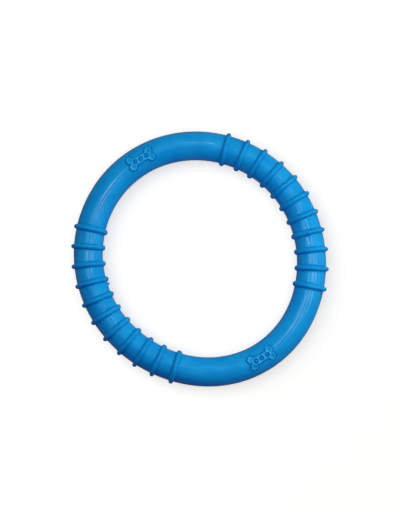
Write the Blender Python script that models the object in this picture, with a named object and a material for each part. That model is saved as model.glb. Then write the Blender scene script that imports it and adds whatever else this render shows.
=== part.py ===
"""Ribbed rubber fetch ring: two moulded half shells, bonded at a tongue-and-groove seam.

Frame: the origin is the ring's centre and +Z is its axis. The two groups of ribs lie on +X
and -X, the two bone-shaped pads on +Y and -Y of the upper face. All lengths are in metres.
"""

import math

import bmesh
import bpy
from mathutils import Vector

# The ring: a round tube swept along a centre line that is a little out of round.
RING_RADIUS = 0.1110
TUBE_RADIUS = 0.01425
WALL = 0.0040

# Each wave of the centre line: swells round the ring, height of a swell, angle of one swell.
OUTLINE_WAVES = (
    (2, 0.00285, math.radians(96.6)),
    (3, 0.00054, math.radians(26.7)),
    (4, 0.00028, 0.0),
)

# Sideways shift that brings the middle of the ring's outline to the origin.
CENTRE_SHIFT = Vector((-0.00008, 0.00051, 0.0))

# The ribs: beads that run all round the tube, square to it, in two groups. The groups lean
# towards the +Y pad, so the smooth arc there is a little shorter than the one on -Y.
GROUP_LEAN = math.radians(0.22)
RIB_GROUP_ANGLES = (GROUP_LEAN, math.pi - GROUP_LEAN)
RIBS_PER_GROUP = 11
RIB_PITCH = math.radians(9.16)
RIB_HEIGHT = 0.00265
RIB_HALF_BASE = 0.0034
RIB_HALF_FLANK = 0.0022
RIB_FLANK_SHARE = 0.57
RIB_HALF_CREST = 0.0010

# The seam: the upper rim's groove takes the lower rim's tongue, with cement between them.
CLEARANCE = 0.0003
RIM_HEIGHT = CLEARANCE / 2.0
SEAM_RADIUS = TUBE_RADIUS - WALL / 2.0
GROOVE_WIDTH = 0.0018
GROOVE_TOP = 0.00215
TONGUE_WIDTH = GROOVE_WIDTH - 2.0 * CLEARANCE
TONGUE_TOP = 0.00085

# The bone pads: raised outlines on the crown of the upper shell, each with three round dimples.
PAD_ANGLES = (math.pi / 2.0, -math.pi / 2.0)
PAD_RISE = 0.0007
PAD_ROOT = 0.0110
LOBE_RADIUS = 0.00365
LOBE_ALONG = 0.01015
LOBE_ACROSS = 0.0036
SHANK_HALF_WIDTH = 0.00375
DIMPLE_RADIUS = 0.0024
DIMPLE_PITCH = 0.0062
DIMPLE_DEPTH = 0.0006
DIMPLES_PER_PAD = 3

# Facets. The outer half circle has an odd number, so its middle facet is level.
OUTER_FACETS = 11
INNER_FACETS = 8
CORE_STATIONS = 72
SMOOTH_STATIONS = 16
LOBE_FACETS = 9
PAD_STRIPS = 6
DIMPLE_FACETS = 16

SHARP_ANGLE = math.radians(40.0)


class Station:
    """One cross-section of the tube: its centre, its outward direction and its rib height.

    A shift moves it along the tube. The bow is how far the centre line has by then curved
    inward from the straight tangent.
    """

    def __init__(self, angle, shift=0.0, rise=0.0):
        point, tangent, outward = centre_line(angle)
        self.bow = shift * shift / (2.0 * RING_RADIUS)
        self.centre = point + tangent * shift - outward * self.bow
        self.outward = outward
        self.rise = rise

    def at(self, across, height):
        """World point at a distance outward from the centre line and a height above it."""
        return self.centre + self.outward * across + Vector((0.0, 0.0, height))


def centre_line(angle):
    """Point, tangent and outward normal of the centre line at an angle about +Z."""
    radius = RING_RADIUS
    slope = 0.0
    for count, swell, peak in OUTLINE_WAVES:
        swing = count * (angle - peak)
        radius += swell * math.cos(swing)
        slope -= count * swell * math.sin(swing)
    radial = Vector((math.cos(angle), math.sin(angle), 0.0))
    around = Vector((-math.sin(angle), math.cos(angle), 0.0))
    tangent = (around * radius + radial * slope).normalized()
    outward = Vector((tangent.y, -tangent.x, 0.0))
    return CENTRE_SHIFT + radial * radius, tangent, outward


def rib_stations(angle):
    """Parallel cross-sections through one rib, from base to base over its flat crest."""
    half_profile = (
        (RIB_HALF_BASE, 0.0),
        (RIB_HALF_FLANK, RIB_FLANK_SHARE * RIB_HEIGHT),
        (RIB_HALF_CREST, RIB_HEIGHT),
    )
    near = [Station(angle, -shift, rise) for shift, rise in half_profile]
    far = [Station(angle, shift, rise) for shift, rise in reversed(half_profile)]
    return near + far


def skin_stations():
    """Cross-sections of the outer skin: each group of ribs, then the smooth arc after it."""
    half_group = RIB_PITCH * (RIBS_PER_GROUP - 1) / 2.0
    stations = []
    for group_angle, lean in zip(RIB_GROUP_ANGLES, (GROUP_LEAN, -GROUP_LEAN)):
        smooth_arc = math.pi - 2.0 * half_group - 2.0 * lean
        for rib in range(RIBS_PER_GROUP):
            stations += rib_stations(group_angle - half_group + rib * RIB_PITCH)
        for step in range(1, SMOOTH_STATIONS + 1):
            share = step / (SMOOTH_STATIONS + 1)
            stations.append(Station(group_angle + half_group + share * smooth_arc))
    return stations


def core_stations():
    """Evenly spaced cross-sections for the plain surfaces inside the shells."""
    return [Station(math.tau * step / CORE_STATIONS) for step in range(CORE_STATIONS)]


def half_circle(radius, facets, side):
    """Points (across, height) of a half circle, ending level with the shell's rim."""
    points = []
    for step in range(facets + 1):
        angle = math.pi * step / facets
        height = max(radius * math.sin(angle), RIM_HEIGHT)
        points.append((radius * math.cos(angle), side * height))
    return points


def groove_profile():
    """The upper rim's groove in section, from its outer edge to its inner edge."""
    outer = SEAM_RADIUS + GROOVE_WIDTH / 2.0
    inner = SEAM_RADIUS - GROOVE_WIDTH / 2.0
    return [(outer, RIM_HEIGHT), (outer, GROOVE_TOP), (inner, GROOVE_TOP), (inner, RIM_HEIGHT)]


def tongue_profile():
    """The lower rim's tongue in section, from its outer edge to its inner edge."""
    outer = SEAM_RADIUS + TONGUE_WIDTH / 2.0
    inner = SEAM_RADIUS - TONGUE_WIDTH / 2.0
    return [(outer, -RIM_HEIGHT), (outer, TONGUE_TOP), (inner, TONGUE_TOP), (inner, -RIM_HEIGHT)]


def core_profile(side):
    """Rim and bore in section: seam form, bore, then the seam form mirrored."""
    seam = groove_profile() if side > 0 else tongue_profile()
    bore = half_circle(TUBE_RADIUS - WALL, INNER_FACETS, side)
    mirrored = [(-across, height) for across, height in reversed(seam)]
    return seam + bore + mirrored


def sweep(mesh, stations, section_points):
    """Sweep an open section round the ring; returns its first and last edge loops."""
    rows = []
    for station in stations:
        rows.append([mesh.verts.new(station.at(*point)) for point in section_points(station)])
    for row, following in zip(rows, rows[1:] + rows[:1]):
        for index in range(len(row) - 1):
            mesh.faces.new((row[index], row[index + 1], following[index + 1], following[index]))
    return ring_edges(mesh, rows, 0), ring_edges(mesh, rows, -1)


def ring_edges(mesh, rows, index):
    """The closed loop of edges that joins one vertex of every row."""
    following = rows[1:] + rows[:1]
    return [mesh.edges.get((row[index], after[index])) for row, after in zip(rows, following)]


def close_rim(mesh, skin_edges, core_edges):
    """Flat land between the outer skin and the seam form, whose loops have unequal counts."""
    bmesh.ops.triangle_fill(mesh, edges=skin_edges + core_edges, use_beauty=True, normal=(0.0, 0.0, 1.0))


def half_shell(name, side):
    """One half of the tube: ribbed skin outside, plain bore inside, seam form on both rims."""
    mesh = bmesh.new()
    skin = sweep(
        mesh,
        skin_stations(),
        lambda station: half_circle(TUBE_RADIUS + station.rise, OUTER_FACETS, side),
    )
    profile = core_profile(side)
    core = sweep(mesh, core_stations(), lambda station: profile)
    for skin_edges, core_edges in zip(skin, core):
        close_rim(mesh, skin_edges, core_edges)
    return add_object(name, mesh)


def seam_cement(name, side):
    """A cement bead lying on the tongue, inside the groove; side -1 is the ring's inner seam."""
    low = TONGUE_TOP + CLEARANCE
    high = GROOVE_TOP - CLEARANCE
    near = side * (SEAM_RADIUS - TONGUE_WIDTH / 2.0)
    far = side * (SEAM_RADIUS + TONGUE_WIDTH / 2.0)
    profile = [(near, low), (far, low), (far, high), (near, high), (near, low)]
    mesh = bmesh.new()
    sweep(mesh, core_stations(), lambda station: profile)
    bmesh.ops.remove_doubles(mesh, verts=mesh.verts[:], dist=1e-6)
    return add_object(name, mesh)


def bone_outline():
    """Outline (along, across) of a bone: four round lobes joined by a straight shank."""
    notch_reach = math.sqrt(LOBE_RADIUS**2 - LOBE_ACROSS**2)
    notch = math.atan2(-LOBE_ACROSS, notch_reach)
    shank = math.pi - math.asin((SHANK_HALF_WIDTH - LOBE_ACROSS) / LOBE_RADIUS)
    lobe = []
    for step in range(LOBE_FACETS + 1):
        angle = notch + (shank - notch) * step / LOBE_FACETS
        along = LOBE_ALONG + LOBE_RADIUS * math.cos(angle)
        lobe.append((along, LOBE_ACROSS + LOBE_RADIUS * math.sin(angle)))
    upper = lobe + [(-along, across) for along, across in reversed(lobe)][:-1]
    return upper + [(-along, -across) for along, across in upper]


def bone_pad(name, angle):
    """Solid straight bone with a crown that follows the tube, rooted inside the shell's wall."""
    mesh = bmesh.new()
    outline = bone_outline()
    floor = mesh.faces.new([mesh.verts.new((*point, 0.0)) for point in outline[:-1]])
    lift = bmesh.ops.extrude_face_region(mesh, geom=[floor])
    crown = [item for item in lift["geom"] if isinstance(item, bmesh.types.BMVert)]
    bmesh.ops.translate(mesh, verts=crown, vec=(0.0, 0.0, 1.0))
    cut_into_strips(mesh)
    crown_radius = TUBE_RADIUS + PAD_RISE
    for vert in mesh.verts:
        along, across, level = vert.co
        seat = Station(angle, along)
        reach = across + seat.bow
        height = math.sqrt(crown_radius**2 - reach**2) if level > 0.5 else PAD_ROOT
        vert.co = seat.at(reach, height)
    return add_guide(name, mesh)


def cut_into_strips(mesh):
    """Cut lines along the bone, so that its crown can bend across the tube."""
    half_width = LOBE_ACROSS + LOBE_RADIUS
    for strip in range(1, PAD_STRIPS):
        across = half_width * (2.0 * strip / PAD_STRIPS - 1.0)
        geometry = mesh.verts[:] + mesh.edges[:] + mesh.faces[:]
        bmesh.ops.bisect_plane(mesh, geom=geometry, plane_co=(0.0, across, 0.0), plane_no=(0.0, 1.0, 0.0))


def dimple(name, angle, along):
    """Upright round cutter that sinks a flat-floored dimple into a pad's shank."""
    floor = TUBE_RADIUS + PAD_RISE - DIMPLE_DEPTH
    depth = 4.0 * DIMPLE_DEPTH
    mesh = bmesh.new()
    bmesh.ops.create_cone(
        mesh, cap_ends=True, segments=DIMPLE_FACETS, radius1=DIMPLE_RADIUS, radius2=DIMPLE_RADIUS, depth=depth
    )
    seat = Station(angle, along)
    bmesh.ops.translate(mesh, verts=mesh.verts[:], vec=seat.at(seat.bow, floor + depth / 2.0))
    return add_guide(name, mesh)


def add_bone_pads(shell):
    """Join both bone pads to the upper shell and sink their dimples."""
    for number, angle in enumerate(PAD_ANGLES, start=1):
        combine(shell, bone_pad(f"guide_pad_{number}", angle), "UNION")
        for place in range(DIMPLES_PER_PAD):
            along = (place - (DIMPLES_PER_PAD - 1) / 2.0) * DIMPLE_PITCH
            combine(shell, dimple(f"guide_dimple_{number}_{place + 1}", angle, along), "DIFFERENCE")


def combine(target, guide, operation):
    """Add a Boolean modifier that joins or cuts the target with a guide."""
    modifier = target.modifiers.new(guide.name, "BOOLEAN")
    modifier.operation = operation
    modifier.solver = "EXACT"
    modifier.object = guide


def add_object(name, mesh):
    """Turn a bmesh into a scene object with its faces out and its round faces smooth."""
    bmesh.ops.recalc_face_normals(mesh, faces=mesh.faces[:])
    data = bpy.data.meshes.new(name)
    mesh.to_mesh(data)
    mesh.free()
    data.shade_smooth()
    data.set_sharp_from_angle(angle=SHARP_ANGLE)
    item = bpy.data.objects.new(name, data)
    bpy.context.scene.collection.objects.link(item)
    return item


def add_guide(name, mesh):
    """A Boolean guide: shown as wire, and not part of the ring."""
    guide = add_object(name, mesh)
    guide.hide_render = True
    guide.display_type = "WIRE"
    return guide


def paint(item, name, colour, roughness):
    """Give an object its own Principled material."""
    material = bpy.data.materials.new(name)
    material.use_nodes = True
    surface = material.node_tree.nodes["Principled BSDF"]
    surface.inputs["Base Color"].default_value = (*colour, 1.0)
    surface.inputs["Roughness"].default_value = roughness
    surface.inputs["Metallic"].default_value = 0.0
    item.data.materials.append(material)


def clear_scene():
    """Remove every object that the scene starts with."""
    for item in list(bpy.data.objects):
        bpy.data.objects.remove(item, do_unlink=True)


def build():
    """Make the ring's four pieces."""
    clear_scene()
    rubber_blue = (0.012, 0.240, 0.610)
    cement_amber = (0.350, 0.210, 0.060)

    upper = half_shell("upper_shell", 1.0)
    add_bone_pads(upper)
    paint(upper, "upper_rubber", rubber_blue, 0.45)

    lower = half_shell("lower_shell", -1.0)
    paint(lower, "lower_rubber", rubber_blue, 0.45)

    outer = seam_cement("outer_seam_cement", 1.0)
    paint(outer, "outer_cement", cement_amber, 0.6)

    inner = seam_cement("inner_seam_cement", -1.0)
    paint(inner, "inner_cement", cement_amber, 0.6)


build()
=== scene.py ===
"""Looks of a blue ribbed rubber fetch ring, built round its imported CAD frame.

The ring lies flat with its two bone pads up. Each half shell is remade as a fine moulded skin
with the CAD's bore and seam behind it; the two cement beads are remade in their groove. Lengths
are in metres, in the frame of the CAD: origin at the ring's centre, +Z along its axis.
"""

import math

import bmesh
import bpy
import numpy as np
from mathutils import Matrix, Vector


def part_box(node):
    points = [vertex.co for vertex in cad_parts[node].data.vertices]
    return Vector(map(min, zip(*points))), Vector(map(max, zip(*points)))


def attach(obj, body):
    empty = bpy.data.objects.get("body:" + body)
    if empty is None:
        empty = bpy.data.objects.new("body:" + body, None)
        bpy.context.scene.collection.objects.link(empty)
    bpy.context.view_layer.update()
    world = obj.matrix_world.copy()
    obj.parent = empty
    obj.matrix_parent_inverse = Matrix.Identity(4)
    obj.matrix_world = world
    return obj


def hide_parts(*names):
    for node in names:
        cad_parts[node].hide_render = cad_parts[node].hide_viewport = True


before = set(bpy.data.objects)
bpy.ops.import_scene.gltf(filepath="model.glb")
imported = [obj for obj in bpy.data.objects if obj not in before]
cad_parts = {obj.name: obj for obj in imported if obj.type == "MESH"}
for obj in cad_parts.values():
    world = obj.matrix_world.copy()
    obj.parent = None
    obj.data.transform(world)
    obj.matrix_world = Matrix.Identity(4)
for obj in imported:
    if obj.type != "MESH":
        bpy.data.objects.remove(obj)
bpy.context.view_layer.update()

# ---------------------------------------------------------------- sizes taken from the frame
# The level facet in the middle of the CAD's half section sets how high its shells reach.
SHELL_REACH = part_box("upper_shell")[1]
CAD_OUTER_FACETS = 11
RIB_HEIGHT = 0.00265
CREST_RADIUS = SHELL_REACH.z / math.cos(math.pi / (2 * CAD_OUTER_FACETS))
TUBE_RADIUS = CREST_RADIUS - RIB_HEIGHT
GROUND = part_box("lower_shell")[0].z

# Each wave of the centre line: swells round the ring, height of a swell, angle of one swell.
OUTLINE_WAVES = (
    (2, 0.00285, math.radians(96.6)),
    (3, 0.00054, math.radians(26.7)),
    (4, 0.00028, 0.0),
)
CENTRE_SHIFT = (-0.00008, 0.00051)

# The ring's mean radius, from how far the outline swells past it towards +Y.
SWELL_AT_Y = 0.00297
RING_RADIUS = SHELL_REACH.y - TUBE_RADIUS - SWELL_AT_Y

# ---------------------------------------------------------------- ribs
GROUP_LEAN = math.radians(0.22)
RIB_GROUP_ANGLES = (GROUP_LEAN, math.pi - GROUP_LEAN)
RIBS_PER_GROUP = 11
RIB_COUNT = 2 * RIBS_PER_GROUP
RIB_PITCH = math.radians(9.16)
BEAD_RADIUS = 0.0024
BEAD_CENTRE = RIB_HEIGHT - BEAD_RADIUS
FILLET_RADIUS = 0.0009

# Shares by which a rib is higher on the ring's outer side and wider on its inner side.
HIGHER_OUTSIDE = 0.06
WIDER_INSIDE = 0.06

# Random unevenness: a rib's place along the tube, its straightness, and its height as a share.
RIB_PLACE_ERROR = 0.0003
RIB_WANDER = 0.00022
RIB_HEIGHT_ERROR = 0.06

# ---------------------------------------------------------------- bone pads
PAD_ANGLES = (math.pi / 2.0, -math.pi / 2.0)
LOBE_RADIUS = 0.00365
LOBE_ALONG = 0.01015
LOBE_ACROSS = 0.0036
SHANK_HALF_WIDTH = 0.00375
PAD_CORNER = 0.0007
PAD_REACH = 0.0165

# Relief: the plateau, its rounded edge and lip, a dish in each lobe, and a moat all round.
PAD_RISE = 0.00075
PAD_EDGE = 0.00055
PAD_LIP = 0.00032
LIP_INSET = 1.5 * PAD_EDGE
DISH_DEPTH = 0.00045
DISH_RADIUS = 0.5 * LOBE_RADIUS
MOAT_DEPTH = 0.00030
MOAT_OFFSET = 0.9 * PAD_EDGE
MOAT_WIDTH = 0.8 * PAD_EDGE

# Three round wells along each shank, with a boss in the middle of each.
WELL_PITCH = 0.0062
WELL_PLACES = (-WELL_PITCH, 0.0, WELL_PITCH)
WELL_RADIUS = 0.0028
WELL_FLOOR_RADIUS = 0.65 * WELL_RADIUS
WELL_DEPTH = 0.00080
BOSS_RADIUS = 0.0010
BOSS_HEIGHT = 0.85

# ---------------------------------------------------------------- painted light and wear, from -1 to 1
# Parts painted paler (painted highlight, partly wear) count up from 0 and parts painted darker
# (painted shade) count down. On the ribs, painted shade on the crests and in the creases at their
# feet:
CREST_PAINTED_SHADE = -0.12
FOOT_PAINTED_SHADE = 0.50
FOOT_SHIFT = 0.0027
FOOT_FADE = 0.0009

# On the bone pads: painted highlight, partly wear, on the plateau, its rim and the well rims;
# painted shade in the moat, the lobe dishes and the wells:
PLATEAU_HIGHLIGHT_AND_WEAR = 0.35
RIM_HIGHLIGHT_AND_WEAR = 0.9
RIM_WIDTH = 0.00045
RIM_INSET = 1.3 * PAD_EDGE
MOAT_PAINTED_SHADE = 1.2
DISH_PAINTED_SHADE = 0.55
WELL_PAINTED_SHADE = 2.0

# ---------------------------------------------------------------- seam and bore
WALL = 0.0040
RIM_HEIGHT = 0.00002
SEAM_RADIUS = TUBE_RADIUS - WALL / 2.0
GROOVE_WIDTH = 0.0018
GROOVE_TOP = 0.00215
CLEARANCE = 0.0003
TONGUE_WIDTH = GROOVE_WIDTH - 2.0 * CLEARANCE
TONGUE_TOP = 0.00085
CEMENT_GAP = CLEARANCE / 3.0
CEMENT_ROUNDNESS = 0.6

# Trimmed flash along the rims: its least height is a share of the full one.
FLASH_HEIGHT = 0.00016
FLASH_SPREAD = 0.00035
FLASH_LEAST = 0.55

# Stub of the moulding gate, on the seam round the hole.
GATE_ANGLE = math.radians(164.5)
GATE_HEIGHT = 0.0024
GATE_LENGTH = 0.0017
GATE_DEPTH = 0.0022
GATE_REACH = 2.5 * GATE_LENGTH

# ---------------------------------------------------------------- mesh pitch
BEAD_STEPS = 12
FILLET_STEPS = 3
LAND_STEPS = 5
GATE_STEP = 0.0004
ARC_STEP = 0.0020
PAD_STEP = 0.0003
ROW_STEP = 0.0009
PAD_ROW_STEP = 0.00028
PAD_ROWS_REACH = math.radians(36.0)
RIM_ROWS = (0.0, 0.00015, 0.0003, 0.0005, 0.0008)
CORE_STATIONS = 180
BORE_STEPS = 20
CEMENT_FACETS = 16
SMOOTH_BELOW = math.radians(50.0)


# ================================================================ tube geometry
def centre_line(angles):
    """Points, tangents and outward normals of the centre line, in plan."""
    radius = np.full(len(angles), RING_RADIUS)
    slope = np.zeros(len(angles))
    for count, swell, peak in OUTLINE_WAVES:
        swing = count * (angles - peak)
        radius += swell * np.cos(swing)
        slope -= count * swell * np.sin(swing)
    radial = np.stack([np.cos(angles), np.sin(angles)], axis=-1)
    around = np.stack([-np.sin(angles), np.cos(angles)], axis=-1)
    tangents = around * radius[:, None] + radial * slope[:, None]
    tangents /= np.linalg.norm(tangents, axis=1, keepdims=True)
    outward = np.stack([tangents[:, 1], -tangents[:, 0]], axis=-1)
    return CENTRE_SHIFT + radial * radius[:, None], tangents, outward


class Stations:
    """Cross-sections in order round the ring, as arrays.

    Each has the angle of its frame, a shift along the tube from there, the rib height at the
    shift, and the number of its rib, or -1 between ribs.
    """

    def __init__(self, rows):
        table = np.array(rows, float)
        self.angles, self.shifts, self.rises = table[:, 0], table[:, 1], table[:, 2]
        self.ribs = table[:, 3].astype(int)
        points, self.tangents, self.outward = centre_line(self.angles)
        bows = self.shifts**2 / (2.0 * RING_RADIUS)
        self.centres = points + self.tangents * self.shifts[:, None] - self.outward * bows[:, None]
        self.turns = self.angles + self.shifts / RING_RADIUS


def rib_profile():
    """Section of a rib as (shift, rise): fillet, half-round bead, fillet."""
    drop = FILLET_RADIUS - BEAD_CENTRE
    fillet_shift = math.sqrt((BEAD_RADIUS + FILLET_RADIUS) ** 2 - drop**2)
    contact = math.atan2(fillet_shift, drop)
    fillet = []
    for step in range(FILLET_STEPS):
        angle = contact * step / FILLET_STEPS
        shift = fillet_shift - FILLET_RADIUS * math.sin(angle)
        fillet.append((-shift, FILLET_RADIUS * (1.0 - math.cos(angle))))
    bead = []
    for step in range(BEAD_STEPS + 1):
        angle = contact * (2.0 * step / BEAD_STEPS - 1.0)
        bead.append((BEAD_RADIUS * math.sin(angle), BEAD_CENTRE + BEAD_RADIUS * math.cos(angle)))
    return fillet + bead + [(-shift, rise) for shift, rise in reversed(fillet)]


def spread(start, end, step):
    """Evenly spaced angles strictly between two angles, about one step apart along the tube."""
    count = max(1, round((end - start) * RING_RADIUS / step))
    return [start + (end - start) * place / count for place in range(1, count)]


def ring_stations(with_pads):
    """Stations of a whole skin: ribs with lands between them, then a smooth arc, twice."""
    profile = rib_profile()
    half_rib = profile[-1][0] / RING_RADIUS
    half_group = RIB_PITCH * (RIBS_PER_GROUP - 1) / 2.0
    errors = np.random.default_rng(3).uniform(-1.0, 1.0, RIB_COUNT)
    errors *= RIB_PLACE_ERROR / RING_RADIUS
    rows = []
    for group, group_angle in enumerate(RIB_GROUP_ANGLES):
        first = group * RIBS_PER_GROUP
        angles = group_angle - half_group + RIB_PITCH * np.arange(RIBS_PER_GROUP)
        angles += errors[first:first + RIBS_PER_GROUP]
        for place, angle in enumerate(angles):
            rows += [(angle, shift, rise, first + place) for shift, rise in profile]
            if place + 1 < RIBS_PER_GROUP:
                near = angle + half_rib + FOOT_FADE / RING_RADIUS
                far = angles[place + 1] - half_rib - FOOT_FADE / RING_RADIUS
                rows += [(turn, 0.0, 0.0, -1) for turn in land_turns(near, far)]
        start = angles[-1] + half_rib
        upcoming = errors[(first + RIBS_PER_GROUP) % RIB_COUNT]
        next_angle = RIB_GROUP_ANGLES[1] if group == 0 else RIB_GROUP_ANGLES[0] + math.tau
        end = next_angle - half_group + upcoming - half_rib
        rows += [(turn, 0.0, 0.0, -1) for turn in arc_turns(start, end, with_pads)]
    return Stations(rows)


def land_turns(near, far):
    """Angles across the land between two ribs, closer together where the gate's stub stands."""
    turns = list(np.linspace(near, far, LAND_STEPS))
    if near < GATE_ANGLE < far:
        end = min(far, GATE_ANGLE + GATE_REACH / RING_RADIUS)
        turns = [near] + spread(near, end, GATE_STEP) + [turn for turn in turns if turn >= end]
    return turns


def arc_turns(start, end, with_pads):
    """Angles across a smooth arc, closer together where a bone pad lies."""
    if not with_pads:
        return spread(start, end, ARC_STEP)
    middle = (start + end) / 2.0
    half_pad = PAD_REACH / RING_RADIUS
    near, far = middle - half_pad, middle + half_pad
    pad = [near] + spread(near, far, PAD_STEP) + [far]
    return spread(start, near, ARC_STEP) + pad + spread(far, end, ARC_STEP)


def section_angles(with_pads):
    """Angles round the half section, from its outer rim (0) to its inner rim (pi)."""
    rim = [height / TUBE_RADIUS for height in RIM_ROWS]
    quarter = math.pi / 2.0
    crown = quarter - PAD_ROWS_REACH if with_pads else quarter
    side = np.linspace(rim[-1], crown, round((crown - rim[-1]) * TUBE_RADIUS / ROW_STEP) + 1)[1:]
    half = rim + list(side)
    if with_pads:
        steps = round((quarter - crown) * TUBE_RADIUS / PAD_ROW_STEP)
        half += list(np.linspace(crown, quarter, steps + 1)[1:])
    return np.array(half + [math.pi - angle for angle in reversed(half[:-1])])


# ================================================================ surface detail
def ripple(turns, sections, around, across, count, height, seed):
    """Smooth unevenness in waves that close round the ring and round its full section.

    Around and across are the most cycles a wave may have each way; count is how many waves.
    """
    random = np.random.default_rng(seed)
    total = np.zeros((len(turns), len(sections)))
    for _ in range(count):
        cycles, crossings = random.integers(1, around + 1), random.integers(0, across + 1)
        phase, tilt = random.uniform(0.0, math.tau, 2)
        along = np.cos(cycles * turns + phase)
        total += along[:, None] * np.cos(crossings * sections + tilt)[None, :]
    return total * height / math.sqrt(count)


def rib_noise(stations, sections, height, seed):
    """A slow random value along each rib's length; zero between the ribs."""
    random = np.random.default_rng(seed)
    total = np.zeros((len(stations.angles), len(sections)))
    for rib in range(RIB_COUNT):
        line = np.zeros(len(sections))
        for crossings in (1, 2, 4, 7):
            strength, phase = random.uniform(-1.0, 1.0), random.uniform(0.0, math.tau)
            line += strength * np.cos(crossings * sections + phase)
        total[stations.ribs == rib] = line * height / 2.0
    return total


def smooth_step(values, low, high):
    """0 below low, 1 above high, and a smooth rise between them."""
    share = np.clip((values - low) / (high - low), 0.0, 1.0)
    return share * share * (3.0 - 2.0 * share)


def soft_min(first, second, blend):
    """The smaller of two distances, with the corner between them filleted."""
    share = np.clip(0.5 + 0.5 * (second - first) / blend, 0.0, 1.0)
    return second + (first - second) * share - blend * share * (1.0 - share)


def bone_distance(along, across):
    """Distance to a bone's outline, negative inside: a shank and four lobes."""
    side, reach = np.abs(across), np.abs(along)
    lobe = np.hypot(reach - LOBE_ALONG, side - LOBE_ACROSS) - LOBE_RADIUS
    past_end, past_side = reach - LOBE_ALONG, side - SHANK_HALF_WIDTH
    outside = np.hypot(np.maximum(past_end, 0.0), np.maximum(past_side, 0.0))
    shank = outside + np.minimum(np.maximum(past_end, past_side), 0.0)
    return soft_min(lobe, shank, PAD_CORNER)


def bump(distance, width):
    """A bell-shaped weight of 1 at distance 0."""
    return np.exp(-((distance / width) ** 2))


def bone_relief(along, across):
    """Height of a bone pad above the tube: lipped plateau, dished lobes, moat and round wells."""
    distance = bone_distance(along, across)
    inside = smooth_step(-distance, -0.3 * PAD_EDGE, PAD_EDGE)
    height = PAD_RISE * inside
    height += PAD_LIP * bump(distance + LIP_INSET, PAD_EDGE)
    height -= MOAT_DEPTH * bump(distance - MOAT_OFFSET, MOAT_WIDTH)
    height -= DISH_DEPTH * lobe_dish(along, across)
    return height - WELL_DEPTH * well_depth(along, across)


def lobe_dish(along, across):
    """Depth of the shallow dish in each of a bone's four lobes, from 0 to 1."""
    from_lobe = np.hypot(np.abs(along) - LOBE_ALONG, np.abs(across) - LOBE_ACROSS)
    return bump(from_lobe, DISH_RADIUS)


def well_depth(along, across):
    """Depth of the three round wells with a boss in each, from 0 to 1."""
    depth = np.zeros(along.shape)
    for place in WELL_PLACES:
        radius = np.hypot(along - place, across)
        floor = 1.0 - BOSS_HEIGHT * bump(radius, BOSS_RADIUS)
        depth += floor * (1.0 - smooth_step(radius, WELL_FLOOR_RADIUS, WELL_RADIUS))
    return depth


def bone_painted_light_and_wear(along, across):
    """Painted light and wear on and beside a bone pad: plateau and rims paler (painted highlight,
    partly wear), moat, dishes and wells darker (painted shade).
    """
    distance = bone_distance(along, across)
    # Painted highlight, partly wear: the plateau and the rims of the pad and its wells paler.
    painted_highlight_and_wear = PLATEAU_HIGHLIGHT_AND_WEAR * smooth_step(-distance, 0.0, PAD_EDGE)
    painted_highlight_and_wear += RIM_HIGHLIGHT_AND_WEAR * bump(distance + RIM_INSET, RIM_WIDTH)
    for place in WELL_PLACES:
        radius = np.hypot(along - place, across)
        painted_highlight_and_wear += RIM_HIGHLIGHT_AND_WEAR * bump(radius - WELL_RADIUS - 0.5 * RIM_WIDTH, RIM_WIDTH)
    # Painted shade: the moat, the lobe dishes and the wells darker.
    painted_shade = MOAT_PAINTED_SHADE * bump(distance - PAD_EDGE, PAD_EDGE)
    painted_shade += DISH_PAINTED_SHADE * lobe_dish(along, across)
    return np.minimum(painted_highlight_and_wear, 1.0) - painted_shade - WELL_PAINTED_SHADE * well_depth(along, across)


def on_pads(stations, sections, feature):
    """A feature of (along, across) laid over both bone pads; zero away from them."""
    reach = TUBE_RADIUS * np.cos(sections)
    plan = stations.centres[:, None, :] + stations.outward[:, None, :] * reach[None, :, None]
    total = np.zeros(plan.shape[:2])
    points, tangents, outward = centre_line(np.array(PAD_ANGLES))
    for point, tangent, normal in zip(points, tangents, outward):
        offset = plan - point
        along, across = offset @ tangent, offset @ normal
        near = (np.abs(along) < PAD_REACH) & (np.abs(across) < PAD_REACH / 2.0)
        total[near] += feature(along[near], across[near])
    return total


def skin_painted_light_and_wear(stations, sections, with_pads):
    """Painted light and wear on the skin, from 1 (painted highlight, partly wear) to -1 (painted
    shade): darker crests and creases at the ribs' feet, and the pads.
    """
    rise = stations.rises / RIB_HEIGHT
    foot = bump(np.abs(stations.shifts) - FOOT_SHIFT, FOOT_FADE) * (stations.ribs >= 0)
    # Painted shade: the crests a little darker and the creases at the ribs' feet darker still.
    along = CREST_PAINTED_SHADE * rise - FOOT_PAINTED_SHADE * foot * (1.0 - rise)
    painted_light_and_wear = np.repeat(along[:, None], len(sections), axis=1)
    if with_pads:
        painted_light_and_wear += on_pads(stations, sections, bone_painted_light_and_wear)
    return np.clip(painted_light_and_wear, -1.0, 1.0)


def seam_flash(stations, sections):
    """Thin uneven fin of trimmed flash along both rims, and the stub of the gate inside."""
    level = TUBE_RADIUS * np.sin(sections)
    fin = FLASH_HEIGHT * bump(level, FLASH_SPREAD)
    wave = ripple(stations.turns, np.zeros(1), around=90, across=0, count=9, height=0.6, seed=21)
    uneven = FLASH_LEAST + np.abs(wave)
    from_gate = (stations.turns - GATE_ANGLE) * RING_RADIUS
    inner = (np.cos(sections) < 0.0)[None, :]
    stub = bump(from_gate, GATE_LENGTH)[:, None] * bump(level, GATE_DEPTH)[None, :] * inner
    return uneven * fin[None, :] + GATE_HEIGHT * stub


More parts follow.
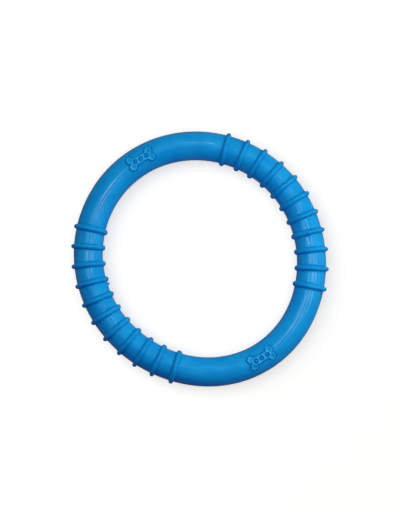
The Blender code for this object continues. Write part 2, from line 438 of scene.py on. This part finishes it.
# ================================================================ shells
def skin_grid(side, with_pads):
    """Points, uv and painted light and wear of the outer skin as grids: stations by rows of the
    section.
    """
    stations = ring_stations(with_pads)
    sections = section_angles(with_pads)
    whole = side * sections
    swell = ripple(stations.turns, whole, around=7, across=2, count=8, height=0.00010, seed=7)
    streaks = ripple(stations.turns, whole, around=16, across=14, count=16, height=0.00003, seed=8)
    radius = TUBE_RADIUS + swell + streaks + seam_flash(stations, sections)
    taller = 1.0 + HIGHER_OUTSIDE * np.cos(sections)
    growth = taller + rib_noise(stations, whole, height=RIB_HEIGHT_ERROR, seed=9)
    radius += stations.rises[:, None] * growth
    wander = rib_noise(stations, whole, height=RIB_WANDER, seed=10)
    wander -= WIDER_INSIDE * stations.shifts[:, None] * np.cos(sections)
    if with_pads:
        radius += on_pads(stations, sections, bone_relief)
    across = radius * np.cos(sections)
    height = np.maximum(radius * np.sin(sections), RIM_HEIGHT)
    plan = stations.centres[:, None, :] + stations.outward[:, None, :] * across[:, :, None]
    plan += stations.tangents[:, None, :] * wander[:, :, None]
    points = np.concatenate([plan, side * height[:, :, None]], axis=2)
    along = np.broadcast_to((stations.turns * RING_RADIUS)[:, None], across.shape)
    round_section = np.broadcast_to(sections[None, :] * TUBE_RADIUS, across.shape)
    painted_light_and_wear = skin_painted_light_and_wear(stations, sections, with_pads)
    return points, np.stack([along, round_section], axis=2), painted_light_and_wear


def seam_profile(side):
    """Groove of the upper rim or tongue of the lower rim as (across, height), outer edge first."""
    groove = (GROOVE_WIDTH, GROOVE_TOP, RIM_HEIGHT)
    tongue = (TONGUE_WIDTH, TONGUE_TOP, -RIM_HEIGHT)
    width, top, foot = groove if side > 0 else tongue
    outer, inner = SEAM_RADIUS + width / 2.0, SEAM_RADIUS - width / 2.0
    return [(outer, foot), (outer, top), (inner, top), (inner, foot)]


def core_grid(side):
    """Points of the seam forms and the bore, as a grid like the skin's."""
    bore_radius = TUBE_RADIUS - WALL
    bore = []
    for step in range(BORE_STEPS + 1):
        angle = math.pi * step / BORE_STEPS
        height = max(bore_radius * math.sin(angle), RIM_HEIGHT)
        bore.append((bore_radius * math.cos(angle), side * height))
    seam = seam_profile(side)
    profile = np.array(seam + bore + [(-across, height) for across, height in reversed(seam)])
    return sweep_profile(profile)


def sweep_profile(profile):
    """Grid of points that carries a section of (across, height) pairs round the ring."""
    angles = np.arange(CORE_STATIONS) * math.tau / CORE_STATIONS
    centres, _, outward = centre_line(angles)
    plan = centres[:, None, :] + outward[:, None, :] * profile[None, :, 0, None]
    heights = np.broadcast_to(profile[None, :, 1, None], (len(angles), len(profile), 1))
    return np.concatenate([plan, heights], axis=2)


def grid_faces(rows, columns, offset, closed=False):
    """Quads of a grid that closes round its rows, and round its columns if asked."""
    row = np.arange(rows)[:, None]
    column = np.arange(columns if closed else columns - 1)[None, :]
    onward, beside = (row + 1) % rows, (column + 1) % columns
    corners = [(row, column), (row, beside), (onward, beside), (onward, column)]
    indices = [line * columns + place for line, place in corners]
    return offset + np.stack(np.broadcast_arrays(*indices), axis=-1).reshape(-1, 4)


def half_shell(name, node, side):
    """A half shell: fine skin outside, bore and seam form inside, joined by flat rim lands."""
    with_pads = side > 0
    skin, uv, painted_light_and_wear = skin_grid(side, with_pads)
    core = core_grid(side)
    split = skin.shape[0] * skin.shape[1]
    vertices = np.concatenate([skin.reshape(-1, 3), core.reshape(-1, 3)])
    faces = np.concatenate([
        grid_faces(*skin.shape[:2], 0),
        grid_faces(*core.shape[:2], split),
    ])
    data = bpy.data.meshes.new(name)
    data.from_pydata(vertices.tolist(), [], faces.tolist())
    data.update()

    mesh = bmesh.new()
    mesh.from_mesh(data)
    mesh.verts.ensure_lookup_table()
    for end in (0, -1):
        edges = rim_edges(mesh, skin.shape, 0, end) + rim_edges(mesh, core.shape, split, end)
        bmesh.ops.triangle_fill(mesh, edges=edges, use_beauty=True, normal=(0.0, 0.0, 1.0))
    bmesh.ops.recalc_face_normals(mesh, faces=mesh.faces[:])
    mesh.to_mesh(data)
    mesh.free()

    add_uv(data, uv.reshape(-1, 2))
    add_painted_light_and_wear(data, painted_light_and_wear)
    data.shade_smooth()
    data.set_sharp_from_angle(angle=SMOOTH_BELOW)
    return add_piece(name, data, node)


def rim_edges(mesh, shape, offset, end):
    """The closed loop of edges along a grid's first (0) or last (-1) column."""
    column = shape[1] - 1 if end else 0
    ring = [mesh.verts[offset + row * shape[1] + column] for row in range(shape[0])]
    return [mesh.edges.get(pair) for pair in zip(ring, ring[1:] + ring[:1])]


def add_uv(data, uv):
    """Store metres along and round the tube as a UV map, without a jump where the turn ends."""
    ends = np.empty(len(data.loops), np.int32)
    data.loops.foreach_get("vertex_index", ends)
    full = np.zeros((len(data.vertices), 2))
    full[:len(uv)] = uv
    values = full[ends]
    first = np.empty(len(data.polygons), np.int32)
    data.polygons.foreach_get("loop_start", first)
    sizes = np.empty(len(data.polygons), np.int32)
    data.polygons.foreach_get("loop_total", sizes)
    owner = np.repeat(np.arange(len(first)), sizes)
    highest = np.maximum.reduceat(values[:, 0], first)[owner]
    wrapped = highest - values[:, 0] > math.pi * RING_RADIUS
    values[wrapped, 0] += math.tau * RING_RADIUS
    layer = data.uv_layers.new(name="tube")
    layer.data.foreach_set("uv", values.astype(np.float32).ravel())


def add_painted_light_and_wear(data, painted_light_and_wear):
    """Store the skin's painted light and wear as a point attribute; the seam and the bore get 0."""
    values = np.zeros(len(data.vertices), np.float32)
    values[:painted_light_and_wear.size] = painted_light_and_wear.ravel()
    attribute = data.attributes.new("painted_light_and_wear", "FLOAT", "POINT")
    attribute.data.foreach_set("value", values)


def seam_cement(name, node, side):
    """A cured bead of cement in its groove; side -1 is the seam on the ring's inner side."""
    low, high = TONGUE_TOP + CEMENT_GAP, GROOVE_TOP - CEMENT_GAP
    middle, half_height = (low + high) / 2.0, (high - low) / 2.0
    half_width = TONGUE_WIDTH / 2.0
    turns = np.arange(CEMENT_FACETS) * math.tau / CEMENT_FACETS
    across = side * SEAM_RADIUS + half_width * squared_off(np.cos(turns))
    height = middle + half_height * squared_off(np.sin(turns))
    grid = sweep_profile(np.stack([across, height], axis=1))
    angles = np.arange(CORE_STATIONS) * math.tau / CORE_STATIONS
    grid[:, :, 2] += ripple(angles, turns, around=60, across=3, count=8, height=0.00003, seed=22)
    data = bpy.data.meshes.new(name)
    faces = grid_faces(*grid.shape[:2], 0, closed=True)
    data.from_pydata(grid.reshape(-1, 3).tolist(), [], faces.tolist())
    data.update()
    mesh = bmesh.new()
    mesh.from_mesh(data)
    bmesh.ops.recalc_face_normals(mesh, faces=mesh.faces[:])
    mesh.to_mesh(data)
    mesh.free()
    data.shade_smooth()
    return add_piece(name, data, node)


def squared_off(wave):
    """A sine or cosine swollen towards its limits, which turns a circle into a rounded square."""
    return np.sign(wave) * np.abs(wave) ** CEMENT_ROUNDNESS


def add_piece(name, data, node):
    """Put a finished mesh in the scene, in place of a CAD node, on the ring's only body."""
    piece = bpy.data.objects.new(name, data)
    bpy.context.scene.collection.objects.link(piece)
    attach(piece, "root")
    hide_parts(node)
    return piece


# ================================================================ materials
class Nodes:
    """Short calls for building a material's node tree."""

    def __init__(self, name):
        self.material = bpy.data.materials.new(name)
        self.material.use_nodes = True
        self.tree = self.material.node_tree
        self.surface = self.tree.nodes["Principled BSDF"]

    def add(self, kind, **settings):
        node = self.tree.nodes.new("ShaderNode" + kind)
        for key, value in settings.items():
            if hasattr(node, key):
                setattr(node, key, value)
            else:
                node.inputs[key].default_value = value
        return node

    def link(self, output, target):
        self.tree.links.new(output, target)

    def noise(self, vector, scale, detail=2.0, roughness=0.5):
        node = self.add("TexNoise", Scale=scale, Detail=detail, Roughness=roughness)
        self.link(vector, node.inputs["Vector"])
        return node.outputs[0]

    def remap(self, value, low, high, to_low, to_high):
        limits = {"From Min": low, "From Max": high, "To Min": to_low, "To Max": to_high}
        node = self.add("MapRange", **limits)
        self.link(value, node.inputs["Value"])
        return node.outputs[0]

    def math(self, operation, first, second):
        node = self.add("Math", operation=operation)
        for slot, value in enumerate((first, second)):
            if isinstance(value, float):
                node.inputs[slot].default_value = value
            else:
                self.link(value, node.inputs[slot])
        return node.outputs[0]

    def mix(self, factor, first, second):
        node = self.add("Mix", data_type="RGBA")
        self.link(factor, node.inputs["Factor"])
        for socket, value in ((node.inputs[6], first), (node.inputs[7], second)):
            if isinstance(value, tuple):
                socket.default_value = (*value, 1.0)
            else:
                self.link(value, socket)
        return node.outputs[2]

    def bump(self, height, distance, strength, normal=None):
        node = self.add("Bump", Distance=distance, Strength=strength)
        self.link(height, node.inputs["Height"])
        if normal is not None:
            self.link(normal, node.inputs["Normal"])
        return node.outputs["Normal"]


# Rubber colours, from the painted shade of the creases to the painted highlight, partly wear, of the
# pad rims, and the tint of its sheen.
PAINTED_SHADE_BLUE = (0.0004, 0.088, 0.350)
DEEP_BLUE = (0.0025, 0.170, 0.460)
FRESH_BLUE = (0.0055, 0.215, 0.505)
WORN_AND_HIGHLIGHT_BLUE = (0.0120, 0.260, 0.520)
SHEEN_TINT = (0.10, 0.70, 1.0)
COAT_ROUGHNESS = 0.11
COAT_IOR = 1.4

# Scales of the rubber's patterns, in cycles per metre; streaks have one along and one round.
POLISH_SCALE = 28.0
CLOUD_SCALE = 55.0
STREAK_SCALES = (55.0, 230.0, 1.0)
PEBBLE_SCALE = 420.0
GRAIN_SCALE = 1600.0
PEBBLE_HEIGHT = 0.00006
GRAIN_HEIGHT = 0.00002

DARK_CEMENT = (0.30, 0.17, 0.045)
LIGHT_CEMENT = (0.42, 0.26, 0.080)


def rubber(name):
    """Satin blue rubber: cloudy colour, streaks along the tube, fine grain, pad rims painted paler
    (painted highlight, partly wear) and creases painted darker (painted shade).
    """
    nodes = Nodes(name)
    place = nodes.add("TexCoord").outputs["Object"]
    clouds = nodes.noise(place, CLOUD_SCALE, 3.0)
    streaks = tube_streaks(nodes)
    pebble = nodes.noise(place, PEBBLE_SCALE, 3.0)
    polish = nodes.noise(place, POLISH_SCALE, 1.0)
    painted_light_and_wear = nodes.add("Attribute", attribute_name="painted_light_and_wear").outputs["Fac"]
    patchy = nodes.remap(pebble, 0.3, 0.7, 0.7, 1.0)
    painted_highlight_and_wear = nodes.math("MULTIPLY", nodes.remap(painted_light_and_wear, 0.0, 1.0, 0.0, 1.0), patchy)

    rubber_colour(nodes, clouds, streaks, painted_light_and_wear, painted_highlight_and_wear)
    rubber_sheen(nodes, clouds, streaks, painted_highlight_and_wear)
    rubber_coat(nodes, polish, painted_light_and_wear)

    normal = nodes.bump(pebble, PEBBLE_HEIGHT, 0.5)
    normal = nodes.bump(nodes.noise(place, GRAIN_SCALE), GRAIN_HEIGHT, 0.5, normal)
    nodes.link(normal, nodes.surface.inputs["Normal"])
    nodes.link(normal, nodes.surface.inputs["Coat Normal"])
    return nodes.material


def tube_streaks(nodes):
    """Noise drawn out along the tube."""
    stretch = nodes.add("Mapping")
    stretch.inputs["Scale"].default_value = STREAK_SCALES
    nodes.link(nodes.add("UVMap", uv_map="tube").outputs["UV"], stretch.inputs["Vector"])
    return nodes.noise(stretch.outputs["Vector"], 1.0, 3.0, 0.6)


def rubber_colour(nodes, clouds, streaks, painted_light_and_wear, painted_highlight_and_wear):
    """Two blues in clouds and streaks, paler with painted highlight and wear on the pads, darker
    with painted shade on the crests, in the creases and in the pads' hollows.
    """
    cloudy = nodes.math("MULTIPLY", clouds, 0.6)
    tone = nodes.math("ADD", cloudy, nodes.math("MULTIPLY", streaks, 0.4))
    body = nodes.mix(nodes.remap(tone, 0.35, 0.65, 0.0, 1.0), DEEP_BLUE, FRESH_BLUE)
    # Painted highlight, partly wear: paler blue on the pads' plateaus and rims.
    body = nodes.mix(painted_highlight_and_wear, body, WORN_AND_HIGHLIGHT_BLUE)
    # Painted shade: darker blue on the rib crests, in the creases, the moats, the dishes and the
    # wells.
    body = nodes.mix(nodes.remap(painted_light_and_wear, 0.0, -1.0, 0.0, 0.8), body, PAINTED_SHADE_BLUE)
    nodes.link(body, nodes.surface.inputs["Base Color"])


def rubber_sheen(nodes, clouds, streaks, painted_highlight_and_wear):
    """Broad tinted highlight, uneven along the streaks and duller on the pads' painted highlight and
    wear.
    """
    rough = nodes.remap(nodes.math("ADD", streaks, clouds), 0.7, 1.3, 0.34, 0.50)
    rough = nodes.math("ADD", rough, nodes.math("MULTIPLY", painted_highlight_and_wear, 0.1))
    nodes.link(rough, nodes.surface.inputs["Roughness"])
    strength = nodes.remap(streaks, 0.35, 0.65, 0.10, 0.45)
    nodes.link(strength, nodes.surface.inputs["Specular IOR Level"])
    nodes.surface.inputs["Specular Tint"].default_value = (*SHEEN_TINT, 1.0)


def rubber_coat(nodes, polish, painted_light_and_wear):
    """Thin broken gloss in polished patches, weaker on the ribs and in the creases."""
    patches = nodes.remap(polish, 0.44, 0.60, 0.15, 0.50)
    open_skin = nodes.remap(painted_light_and_wear, CREST_PAINTED_SHADE, 0.0, 0.2, 1.0)
    shiny = nodes.math("MULTIPLY", patches, open_skin)
    nodes.link(shiny, nodes.surface.inputs["Coat Weight"])
    nodes.surface.inputs["Coat Roughness"].default_value = COAT_ROUGHNESS
    nodes.surface.inputs["Coat IOR"].default_value = COAT_IOR


def cement(name):
    """Cured amber rubber cement: glossy, with cloudy depth and small dimples."""
    nodes = Nodes(name)
    place = nodes.add("TexCoord").outputs["Object"]
    clouds = nodes.noise(place, 180.0, 3.0)
    body = nodes.mix(nodes.remap(clouds, 0.3, 0.7, 0.0, 1.0), DARK_CEMENT, LIGHT_CEMENT)
    nodes.link(body, nodes.surface.inputs["Base Color"])
    nodes.link(nodes.remap(clouds, 0.3, 0.7, 0.22, 0.40), nodes.surface.inputs["Roughness"])
    dimples = nodes.bump(nodes.noise(place, 900.0), 0.00004, 0.6)
    nodes.link(dimples, nodes.surface.inputs["Normal"])
    return nodes.material


def paper(name):
    """Pale backdrop paper lit from behind: bright to the camera, dim in the light it throws back."""
    nodes = Nodes(name)
    place = nodes.add("TexCoord").outputs["Object"]
    fibre = nodes.noise(place, 300.0, 3.0)
    seen = nodes.mix(nodes.remap(fibre, 0.3, 0.7, 0.0, 1.0), FLOOR_SEEN, FLOOR_SEEN_PALER)
    rays = nodes.add("LightPath").outputs
    mirrored = nodes.math("MULTIPLY", rays["Is Glossy Ray"], FLOOR_MIRRORED)
    path = nodes.math("ADD", rays["Is Camera Ray"], mirrored)
    nodes.link(nodes.mix(path, FLOOR_BOUNCE, seen), nodes.surface.inputs["Base Color"])
    nodes.surface.inputs["Emission Color"].default_value = FLOOR_GLOW_COLOUR
    glow = nodes.remap(path, 0.0, 1.0, 0.0, FLOOR_GLOW)
    nodes.link(glow, nodes.surface.inputs["Emission Strength"])
    nodes.surface.inputs["Roughness"].default_value = 0.9
    nodes.surface.inputs["Specular IOR Level"].default_value = 0.0
    return nodes.material


# ================================================================ stage, light and camera
# The picture's upright and its right side, as directions on the floor.
PICTURE_TURN = math.radians(58.78)
PICTURE_UP = Vector((math.cos(PICTURE_TURN), math.sin(PICTURE_TURN), 0.0))
PICTURE_RIGHT = Vector((PICTURE_UP.y, -PICTURE_UP.x, 0.0))

# Camera: its distance, the height of the view at the ring, the view's shift and its tilt.
CAMERA_DISTANCE = 1.40
SENSOR_MM = 36.0
VIEW_HEIGHT = 0.5057
VIEW_RIGHT = 0.0017
VIEW_UP = 0.0027
VIEW_TILT = math.radians(2.8)

# Floor: half its side, and the gap under the ribs that keeps their undersides above it.
FLOOR_HALF = 4.0
FLOOR_DROP = 0.0004

# Its paper and glow as the camera sees them, its colour as it lights the ring, and the share of
# what the camera sees that shows in the ring's sheen.
FLOOR_SEEN = (0.940, 0.930, 0.902)
FLOOR_SEEN_PALER = (0.960, 0.950, 0.922)
FLOOR_BOUNCE = (0.08, 0.08, 0.08)
FLOOR_GLOW = 0.590
FLOOR_GLOW_COLOUR = (1.0, 0.992, 0.976, 1.0)
FLOOR_MIRRORED = 0.12

# Strength of the white room, as a light and as the camera sees it.
ROOM_LIGHT = 0.015
ROOM_SEEN = 0.90

WHITE = (1.0, 1.0, 1.0)
WARM_WHITE = (1.0, 1.0, 0.89)
SHEEN_WHITE = (0.86, 1.0, 0.96)
COOL_WHITE = (0.60, 0.87, 1.0)
BOUNCE_BLUE = (0.30, 0.70, 1.0)
FRONT_BLUE = (0.0, 0.10, 1.0)

# Softboxes: name, turn and height in degrees, distance and size in metres, watts, colour.
FLOOR_BOXES = (
    ("floor_top", 0.0, 90.0, 1.6, (2.0, 2.0), 12.4, WHITE),
    ("floor_side", 154.0, 48.0, 2.7, (2.4, 2.4), 18.0, WHITE),
)
RING_BOXES = (
    ("key_box", 60.0, 38.0, 1.4, (0.8, 0.8), 11.7, WARM_WHITE),
    ("top_box", 90.0, 42.0, 1.4, (0.8, 0.8), 2.5, WARM_WHITE),
    ("low_right", 0.0, 15.0, 1.4, (0.8, 0.8), 9.8, WARM_WHITE),
    ("low_left", 180.0, 15.0, 1.4, (0.8, 0.8), 5.6, COOL_WHITE),
    ("low_front", 270.0, 30.0, 1.4, (0.8, 0.8), 3.0, FRONT_BLUE),
    ("near_right", 0.0, 40.0, 0.30, (0.12, 0.12), 0.13, WARM_WHITE),
)

# The same for the lights that show in the ring's sheen.
SHEEN_STRIPS = (
    ("crest_strip", 88.0, 64.0, 1.35, (0.7, 0.035), 1.8, SHEEN_WHITE),
    ("key_strip", 60.0, 66.0, 1.35, (0.7, 0.035), 1.7, SHEEN_WHITE),
    ("side_strip", -5.0, 52.0, 1.35, (0.5, 0.25), 3.0, SHEEN_WHITE),
    ("right_strip", 0.0, 75.0, 1.35, (0.4, 0.20), 2.4, SHEEN_WHITE),
    ("left_strip", 170.0, 70.0, 1.35, (0.4, 0.15), 1.3, SHEEN_WHITE),
    ("top_strip", 150.0, 83.0, 1.35, (0.25, 0.08), 1.5, SHEEN_WHITE),
)

# Round light in the hole, for what the floor there throws back at the ring.
BOUNCE_RADIUS = 0.03
BOUNCE_POWER = 0.070


def picture_direction(turn, height):
    """Unit vector by its turn from the picture's right and its height over the floor, in degrees."""
    turn, height = math.radians(turn), math.radians(height)
    level = PICTURE_RIGHT * math.cos(turn) + PICTURE_UP * math.sin(turn)
    return level * math.cos(height) + Vector((0.0, 0.0, math.sin(height)))


def add_floor():
    """Pale level floor just under the ribs."""
    mesh = bmesh.new()
    bmesh.ops.create_grid(mesh, x_segments=8, y_segments=8, size=FLOOR_HALF)
    data = bpy.data.meshes.new("floor")
    mesh.to_mesh(data)
    mesh.free()
    floor = bpy.data.objects.new("floor", data)
    floor.location.z = GROUND - FLOOR_DROP
    bpy.context.scene.collection.objects.link(floor)
    data.materials.append(paper("backdrop_paper"))
    return floor


def add_softbox(lit, name, turn, height, distance, size, power, colour):
    """Soft light that faces the ring and lights one collection, unseen in the ring's sheen."""
    light = bpy.data.lights.new(name, "AREA")
    light.shape = "RECTANGLE"
    light.size, light.size_y = size
    light.energy = power
    light.color = colour
    lamp = bpy.data.objects.new(name, light)
    direction = picture_direction(turn, height)
    lamp.location = direction * distance
    lamp.rotation_euler = direction.to_track_quat("Z", "Y").to_euler()
    bpy.context.scene.collection.objects.link(lamp)
    lamp.light_linking.receiver_collection = lit
    lamp.visible_glossy = False
    return lamp


def add_bounce(lit):
    """Weak round light in the hole, for what the bright floor there throws back at the ring."""
    light = bpy.data.lights.new("hole_bounce", "POINT")
    light.shadow_soft_size = BOUNCE_RADIUS
    light.energy = BOUNCE_POWER
    light.color = BOUNCE_BLUE
    lamp = bpy.data.objects.new("hole_bounce", light)
    bpy.context.scene.collection.objects.link(lamp)
    lamp.light_linking.receiver_collection = lit
    lamp.visible_camera = False
    lamp.visible_glossy = False


def group(name, members):
    """Collection of what a light may shine on."""
    lit = bpy.data.collections.new(name)
    for member in members:
        lit.objects.link(member)
    return lit


def add_lights(pieces, floor):
    """Softboxes for the floor, softboxes and strips for the ring, and the light in the hole."""
    ring_only = group("ring_only", pieces)
    floor_only = group("floor_only", [floor])
    for box in FLOOR_BOXES:
        add_softbox(floor_only, *box)
    for box in RING_BOXES:
        add_softbox(ring_only, *box)
    for strip in SHEEN_STRIPS:
        lamp = add_softbox(ring_only, *strip)
        lamp.visible_glossy = True
    add_bounce(ring_only)


def add_room():
    """White room all round, much brighter to the camera than as a light."""
    world = bpy.data.worlds.new("studio")
    world.use_nodes = True
    links, nodes = world.node_tree.links, world.node_tree.nodes
    path, level = nodes.new("ShaderNodeLightPath"), nodes.new("ShaderNodeMapRange")
    links.new(path.outputs["Is Camera Ray"], level.inputs["Value"])
    level.inputs["To Min"].default_value = ROOM_LIGHT
    level.inputs["To Max"].default_value = ROOM_SEEN
    links.new(level.outputs[0], nodes["Background"].inputs["Strength"])
    nodes["Background"].inputs["Color"].default_value = (*WHITE, 1.0)
    bpy.context.scene.world = world


def add_camera():
    """Camera above the ring and a little to its front; the pads are upper left and lower right."""
    data = bpy.data.cameras.new("camera")
    data.sensor_fit = "VERTICAL"
    data.sensor_height = SENSOR_MM
    data.lens = SENSOR_MM * CAMERA_DISTANCE / VIEW_HEIGHT
    camera = bpy.data.objects.new("camera", data)
    direction = Vector((0.0, 0.0, math.cos(VIEW_TILT))) - PICTURE_UP * math.sin(VIEW_TILT)
    centre = PICTURE_RIGHT * VIEW_RIGHT + PICTURE_UP * VIEW_UP
    camera.location = centre + direction * CAMERA_DISTANCE
    camera.rotation_euler = direction.to_track_quat("Z", "Y").to_euler()
    bpy.context.scene.collection.objects.link(camera)
    bpy.context.scene.camera = camera


def build():
    """Make the four pieces, dress them and set the stage."""
    pieces = []
    for name, node, side in (
        ("upper_skin", "upper_shell", 1.0),
        ("lower_skin", "lower_shell", -1.0),
    ):
        shell = half_shell(name, node, side)
        shell.data.materials.append(rubber(name + "_rubber"))
        pieces.append(shell)
    for name, node, side in (
        ("outer_cement_bead", "outer_seam_cement", 1.0),
        ("inner_cement_bead", "inner_seam_cement", -1.0),
    ):
        bead = seam_cement(name, node, side)
        bead.data.materials.append(cement(name + "_cement"))
        pieces.append(bead)
    floor = add_floor()
    add_lights(pieces, floor)
    add_room()
    add_camera()
    bpy.context.scene.view_settings.view_transform = "Standard"


build()
